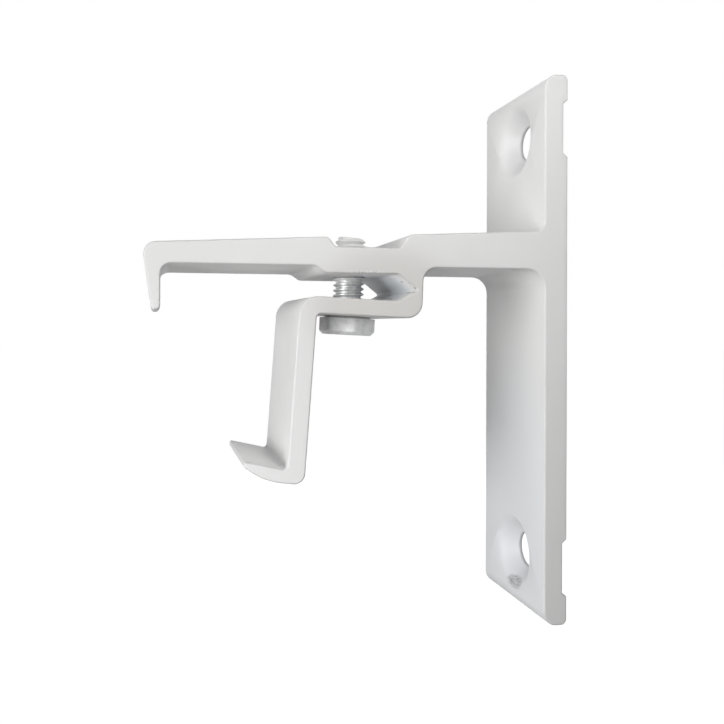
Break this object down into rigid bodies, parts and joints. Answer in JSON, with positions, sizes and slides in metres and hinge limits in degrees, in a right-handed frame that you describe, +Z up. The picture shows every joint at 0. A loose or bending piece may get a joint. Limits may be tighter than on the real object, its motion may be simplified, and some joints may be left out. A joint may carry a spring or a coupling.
{
  "type": "curtain track bracket",
  "caption": "Wall bracket for a curtain track: drilled wall plate, long arm with a hooked nose, and a hooked jaw on a thin bend that a hexagon bolt draws up to clamp the rail.",
  "frame": {"origin": "middle of the plate's flat face that lies on the wall", "axes": "+Y into the wall, +Z up, X along the extrusion; the arm reaches out along -Y"},
  "size_m": [0.025, 0.0757, 0.1],
  "materials": {
    "powder_coat": "satin white powder coat",
    "zinc_plate": "bright zinc plate"
  },
  "bodies": {
    "bracket": {"bracket_body": "powder_coat"},
    "bolt": {"clamp_bolt": "zinc_plate"}
  },
  "joints": [
    {"name": "bolt_turn", "type": "hinge", "parent": "bracket", "child": "bolt", "pos_m": [0, -0.03812, 0.00595], "axis": [0, 0.0497, 0.9988], "range_deg": [-630, 630]}
  ]
}
